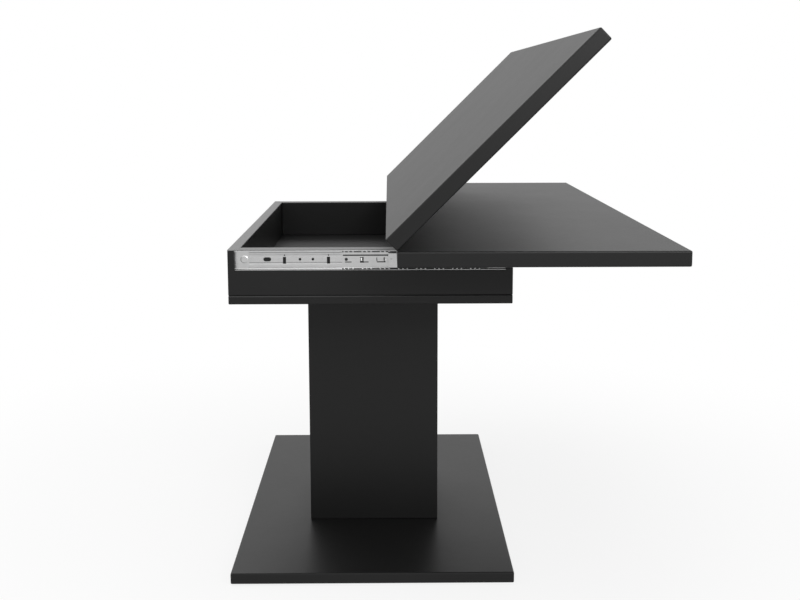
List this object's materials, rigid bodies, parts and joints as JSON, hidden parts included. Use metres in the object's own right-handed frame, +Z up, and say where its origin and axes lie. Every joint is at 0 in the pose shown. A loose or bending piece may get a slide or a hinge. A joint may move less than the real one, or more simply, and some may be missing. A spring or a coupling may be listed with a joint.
{
  "type": "extending pedestal table",
  "caption": "Pedestal dining table with a storage tray under a folded top that slides out on ball-bearing slides and unfolds to double its width.",
  "frame": {"origin": "on the floor under the middle of the base plate, at the underside of the middle glide", "axes": "+Z up, +X the way the leaves slide out, +Y along the table's length, away from the pictured side"},
  "size_m": [0.8865, 1.6, 1.1432],
  "materials": {
    "black_laminate": "satin black laminate on board",
    "bare_board": "bare chipboard, unseen inside the column",
    "zinc_steel": "bright zinc-plated pressed steel",
    "hinge_steel": "nickel-plated steel",
    "grey_felt": "pale grey felt glide strip",
    "black_nylon": "matt moulded nylon"
  },
  "bodies": {
    "pedestal": {"base_plate": "black_laminate", "base_glide_1": "black_nylon", "base_glide_2": "black_nylon", "base_glide_3": "black_nylon", "base_glide_4": "black_nylon", "base_glide_5": "black_nylon", "base_bolt_1": "hinge_steel", "base_bolt_2": "hinge_steel", "base_bolt_3": "hinge_steel", "base_bolt_4": "hinge_steel", "column_front_panel": "black_laminate", "column_rear_panel": "black_laminate", "column_left_panel": "black_laminate", "column_right_panel": "black_laminate", "column_foot_board": "bare_board", "column_head_board": "bare_board", "tray_bolt_1": "hinge_steel", "tray_bolt_2": "hinge_steel", "tray_bolt_3": "hinge_steel", "tray_bolt_4": "hinge_steel", "tray_floor": "black_laminate", "tray_left_wall": "black_laminate", "tray_right_wall": "black_laminate", "tray_front_wall": "black_laminate", "tray_rear_wall": "black_laminate", "front_apron": "black_laminate", "rear_apron": "black_laminate", "left_rim_strip": "grey_felt", "right_rim_strip": "grey_felt", "front_rim_strip": "grey_felt", "rear_rim_strip": "grey_felt", "front_slide_rail": "zinc_steel", "rear_slide_rail": "zinc_steel"},
    "ball_cages": {"front_ball_cage": "zinc_steel", "rear_ball_cage": "zinc_steel"},
    "sliding_leaf": {"lower_leaf": "black_laminate", "front_runner": "zinc_steel", "rear_runner": "zinc_steel", "front_batten": "black_laminate", "rear_batten": "black_laminate", "hinge_lower_plate_1": "hinge_steel", "hinge_lower_plate_2": "hinge_steel", "hinge_lower_plate_3": "hinge_steel", "hinge_lower_plate_4": "hinge_steel", "hinge_pin_1": "hinge_steel", "hinge_pin_2": "hinge_steel", "hinge_pin_3": "hinge_steel", "hinge_pin_4": "hinge_steel"},
    "folding_leaf": {"upper_leaf": "black_laminate", "hinge_upper_plate_1": "hinge_steel", "hinge_upper_plate_2": "hinge_steel", "hinge_upper_plate_3": "hinge_steel", "hinge_upper_plate_4": "hinge_steel"}
  },
  "joints": [
    {"name": "leaf_slide", "type": "slide", "parent": "pedestal", "child": "sliding_leaf", "axis": [1, 0, 0], "range_m": [-0.31, 0]},
    {"name": "cage_travel", "type": "slide", "parent": "pedestal", "child": "ball_cages", "axis": [1, 0, 0], "range_m": [-0.155, 0]},
    {"name": "flap_hinge", "type": "hinge", "parent": "sliding_leaf", "child": "folding_leaf", "pos_m": [0.052, 0, 0.7474], "axis": [0, -1, 0], "range_deg": [-44.7, 135.3]}
  ],
  "couplings": [
    {"joint": "cage_travel", "follows": "leaf_slide", "ratio": 0.5}
  ]
}
